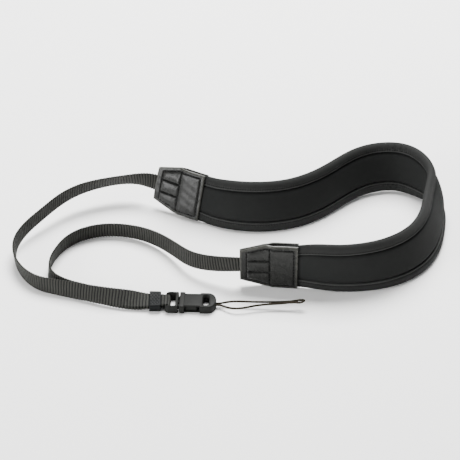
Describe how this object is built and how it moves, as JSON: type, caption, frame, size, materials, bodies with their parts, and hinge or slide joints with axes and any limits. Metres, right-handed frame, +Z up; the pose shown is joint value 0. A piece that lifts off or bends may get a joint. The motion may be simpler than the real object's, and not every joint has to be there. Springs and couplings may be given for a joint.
{
  "type": "camera neck strap",
  "caption": "Camera neck strap: padded neoprene neck band with leather tabs, one ribbed webbing through a keeper and a small side-release buckle, and a thin cord loop for a camera eyelet",
  "frame": {"origin": "centre of the strap's bounding box in plan, on the surface it rests on, without the cord loop", "axes": "+Z up; +X along the strap's longest side, towards the turn of the neck band; -Y towards the buckle"},
  "size_m": [0.2594, 0.1422, 0.0314],
  "materials": {
    "pad_neoprene": "matte knit-faced neoprene",
    "edge_binding": "matte folded binding",
    "tab_leather": "worn satin leather",
    "ribbed_webbing": "matte ribbed webbing",
    "keeper_rubber": "matte knurled rubber",
    "buckle_plastic": "satin moulded plastic",
    "cord": "braided cord"
  },
  "bodies": {
    "root": {"neck_pad": "pad_neoprene", "upper_binding": "edge_binding", "lower_binding": "edge_binding", "rear_tab_outer": "tab_leather", "rear_tab_inner": "tab_leather", "front_tab_outer": "tab_leather", "front_tab_inner": "tab_leather", "webbing": "ribbed_webbing", "keeper": "keeper_rubber", "buckle_plug": "buckle_plastic", "buckle_socket": "buckle_plastic", "cord_loop": "cord"}
  },
  "joints": []
}
